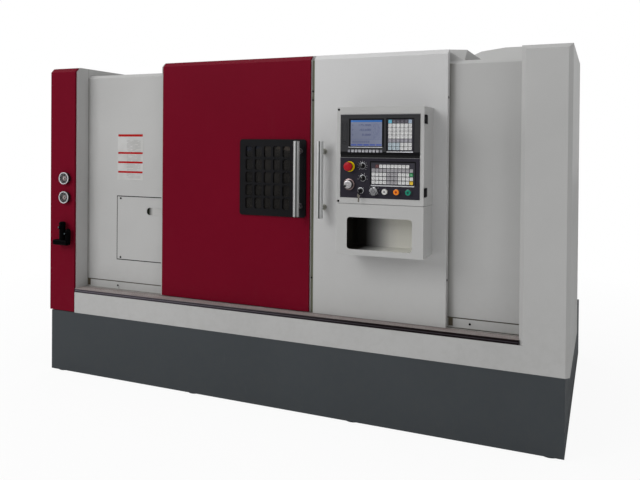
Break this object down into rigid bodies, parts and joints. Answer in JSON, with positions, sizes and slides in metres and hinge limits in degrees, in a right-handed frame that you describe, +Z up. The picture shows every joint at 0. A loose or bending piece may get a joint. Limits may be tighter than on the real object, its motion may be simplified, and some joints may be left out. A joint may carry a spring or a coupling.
{
  "type": "cnc turning lathe",
  "caption": "Slant-bed CNC turning lathe in a grey and dark red sheet-metal enclosure, with two sliding doors, a control box on the right door, a chuck, a turret and a tailstock inside.",
  "frame": {"origin": "on the floor, below the middle of the machine's bounding box at rest", "axes": "+X runs to the operator's right along the spindle axis, +Y runs from the operator into the machine, +Z is up"},
  "size_m": [3.07, 1.912, 1.988],
  "materials": {
    "red_paint": "satin",
    "light_grey_paint": "satin",
    "white_paint": "satin",
    "base_grey_paint": "satin",
    "black_paint": "satin",
    "panel_aluminium": "anodised",
    "black_plastic": "matte",
    "control_plastic": "matte",
    "stop_red": "gloss",
    "button_white": "gloss",
    "button_orange": "gloss",
    "button_green": "gloss",
    "bright_steel": "ground",
    "dark_steel": "blackened",
    "chrome": "polished",
    "bed_iron": "painted",
    "motor_paint": "satin",
    "belt_rubber": "matte",
    "window_glass": "clear"
  },
  "bodies": {
    "machine": {"base_plinth": "base_grey_paint", "left_end_cover": "light_grey_paint", "left_front_panel": "red_paint", "enclosure_frame": "light_grey_paint", "door_tracks": "bright_steel", "front_panel_left": "light_grey_paint", "front_panel_right": "light_grey_paint", "access_panel": "light_grey_paint", "roof_enclosure": "light_grey_paint", "pressure_gauges": "chrome", "air_filter_unit": "black_plastic", "slant_bed": "bed_iron", "headstock": "bed_iron", "spindle_bearings": "bright_steel", "drive_belt": "belt_rubber", "spindle_motor": "motor_paint", "z_servo_motor": "motor_paint", "electrical_cabinet": "light_grey_paint", "hydraulic_unit": "base_grey_paint"},
    "regulator_knob": {"regulator_knob": "black_plastic"},
    "left_door": {"left_door": "light_grey_paint", "left_door_skin": "red_paint", "window_grille": "black_paint", "window_glass": "window_glass", "left_door_handle": "panel_aluminium"},
    "right_door": {"right_door": "white_paint", "right_door_handle": "panel_aluminium", "control_box": "white_paint", "box_hinges": "black_paint"},
    "box_door": {"control_box_door": "white_paint", "display_unit": "control_plastic", "operator_panel": "control_plastic"},
    "emergency_stop": {"emergency_stop": "stop_red"},
    "feed_override_knob": {"feed_override_knob": "black_plastic"},
    "rapid_override_knob": {"rapid_override_knob": "black_plastic"},
    "handwheel": {"handwheel": "panel_aluminium"},
    "key_switch": {"key_switch": "bright_steel"},
    "spindle_override_dial": {"spindle_override_dial": "panel_aluminium"},
    "white_button": {"white_button": "button_white"},
    "orange_button": {"orange_button": "button_orange"},
    "green_button": {"green_button": "button_green"},
    "spindle": {"spindle": "bright_steel", "spindle_pulley": "dark_steel", "chuck_cylinder": "bright_steel", "chuck_body": "bright_steel"},
    "chuck_jaw_1": {"chuck_jaw_1": "dark_steel"},
    "chuck_jaw_2": {"chuck_jaw_2": "dark_steel"},
    "chuck_jaw_3": {"chuck_jaw_3": "dark_steel"},
    "motor_pulley": {"motor_pulley": "dark_steel"},
    "saddle": {"saddle": "bed_iron", "x_servo_motor": "motor_paint"},
    "z_ball_screw": {"z_ball_screw": "bright_steel"},
    "x_ball_screw": {"x_ball_screw": "bright_steel"},
    "cross_slide": {"cross_slide": "bed_iron"},
    "turret": {"turret_disc": "bright_steel", "turret_tools": "dark_steel"},
    "tailstock": {"tailstock": "bed_iron"},
    "tailstock_quill": {"tailstock_quill": "bright_steel"},
    "live_centre": {"live_centre": "bright_steel"},
    "cabinet_door": {"cabinet_door": "light_grey_paint"}
  },
  "joints": [
    {"name": "regulator_turn", "type": "hinge", "parent": "machine", "child": "regulator_knob", "pos_m": [-1.406, -0.824, 0.798], "axis": [0, 0, 1], "range_deg": [-540, 540]},
    {"name": "left_door_slide", "type": "slide", "parent": "machine", "child": "left_door", "axis": [-1, 0, 0], "range_m": [0, 0.58]},
    {"name": "right_door_slide", "type": "slide", "parent": "machine", "child": "right_door", "axis": [1, 0, 0], "range_m": [0, 0.345]},
    {"name": "box_door_swing", "type": "hinge", "parent": "right_door", "child": "box_door", "pos_m": [0.8934, -0.912, 1.203], "axis": [0, 0, 1], "range_deg": [0, 100]},
    {"name": "emergency_stop_press", "type": "slide", "parent": "box_door", "child": "emergency_stop", "axis": [0, 1, 0], "range_m": [0, 0.005]},
    {"name": "feed_override_turn", "type": "hinge", "parent": "box_door", "child": "feed_override_knob", "pos_m": [0.583, -0.916, 1.325], "axis": [0, 1, 0], "range_deg": [-135, 135]},
    {"name": "rapid_override_turn", "type": "hinge", "parent": "box_door", "child": "rapid_override_knob", "pos_m": [0.585, -0.916, 1.265], "axis": [0, 1, 0], "range_deg": [-45, 45]},
    {"name": "handwheel_turn", "type": "hinge", "parent": "box_door", "child": "handwheel", "pos_m": [0.516, -0.916, 1.233], "axis": [0, 1, 0], "continuous": true},
    {"name": "key_switch_turn", "type": "hinge", "parent": "box_door", "child": "key_switch", "pos_m": [0.575, -0.916, 1.204], "axis": [0, 1, 0], "range_deg": [0, 90]},
    {"name": "spindle_override_turn", "type": "hinge", "parent": "box_door", "child": "spindle_override_dial", "pos_m": [0.644, -0.916, 1.203], "axis": [0, 1, 0], "range_deg": [-120, 120]},
    {"name": "white_button_press", "type": "slide", "parent": "box_door", "child": "white_button", "axis": [0, 1, 0], "range_m": [0, 0.003], "stiffness_N_per_m": 400},
    {"name": "orange_button_press", "type": "slide", "parent": "box_door", "child": "orange_button", "axis": [0, 1, 0], "range_m": [0, 0.003], "stiffness_N_per_m": 400},
    {"name": "green_button_press", "type": "slide", "parent": "box_door", "child": "green_button", "axis": [0, 1, 0], "range_m": [0, 0.003], "stiffness_N_per_m": 400},
    {"name": "spindle_turn", "type": "hinge", "parent": "machine", "child": "spindle", "pos_m": [-0.5, -0.294, 1.08], "axis": [1, 0, 0], "continuous": true},
    {"name": "chuck_jaw_1_slide", "type": "slide", "parent": "spindle", "child": "chuck_jaw_1", "axis": [0, 0, 1], "range_m": [0, 0.0044]},
    {"name": "chuck_jaw_2_slide", "type": "slide", "parent": "spindle", "child": "chuck_jaw_2", "axis": [0, -0.866, -0.5], "range_m": [0, 0.0044]},
    {"name": "chuck_jaw_3_slide", "type": "slide", "parent": "spindle", "child": "chuck_jaw_3", "axis": [0, 0.866, -0.5], "range_m": [0, 0.0044]},
    {"name": "motor_pulley_turn", "type": "hinge", "parent": "machine", "child": "motor_pulley", "pos_m": [-1.026, -0.504, 0.604], "axis": [1, 0, 0], "continuous": true},
    {"name": "saddle_feed", "type": "slide", "parent": "machine", "child": "saddle", "axis": [1, 0, 0], "range_m": [-0.09, 0.35]},
    {"name": "z_screw_turn", "type": "hinge", "parent": "machine", "child": "z_ball_screw", "pos_m": [1.15, 0.04541, 1.06586], "axis": [1, 0, 0], "range_deg": [-1640, 6320]},
    {"name": "cross_feed", "type": "slide", "parent": "saddle", "child": "cross_slide", "axis": [0, -0.7071, -0.7071], "range_m": [0, 0.183]},
    {"name": "x_screw_turn", "type": "hinge", "parent": "saddle", "child": "x_ball_screw", "pos_m": [0.06, 0.14264, 1.26562], "axis": [0, 0.7071, 0.7071], "range_deg": [0, 6610]},
    {"name": "turret_index", "type": "hinge", "parent": "cross_slide", "child": "turret", "pos_m": [-0.166, -0.01116, 1.36284], "axis": [1, 0, 0], "continuous": true},
    {"name": "tailstock_feed", "type": "slide", "parent": "machine", "child": "tailstock", "axis": [1, 0, 0], "range_m": [-0.3, 0]},
    {"name": "quill_feed", "type": "slide", "parent": "tailstock", "child": "tailstock_quill", "axis": [-1, 0, 0], "range_m": [0, 0.1]},
    {"name": "live_centre_turn", "type": "hinge", "parent": "tailstock_quill", "child": "live_centre", "pos_m": [0.88, -0.294, 1.08], "axis": [1, 0, 0], "continuous": true},
    {"name": "cabinet_door_swing", "type": "hinge", "parent": "machine", "child": "cabinet_door", "pos_m": [1.3, 0.956, 0.378], "axis": [0, 0, -1], "range_deg": [0, 120]}
  ],
  "couplings": [
    {"joint": "chuck_jaw_2_slide", "follows": "chuck_jaw_1_slide", "ratio": 1},
    {"joint": "chuck_jaw_3_slide", "follows": "chuck_jaw_1_slide", "ratio": 1},
    {"joint": "motor_pulley_turn", "follows": "spindle_turn", "ratio": 1.439},
    {"joint": "z_screw_turn", "follows": "saddle_feed", "rad_per_m": 314.16},
    {"joint": "x_screw_turn", "follows": "cross_feed", "rad_per_m": 628.32}
  ]
}
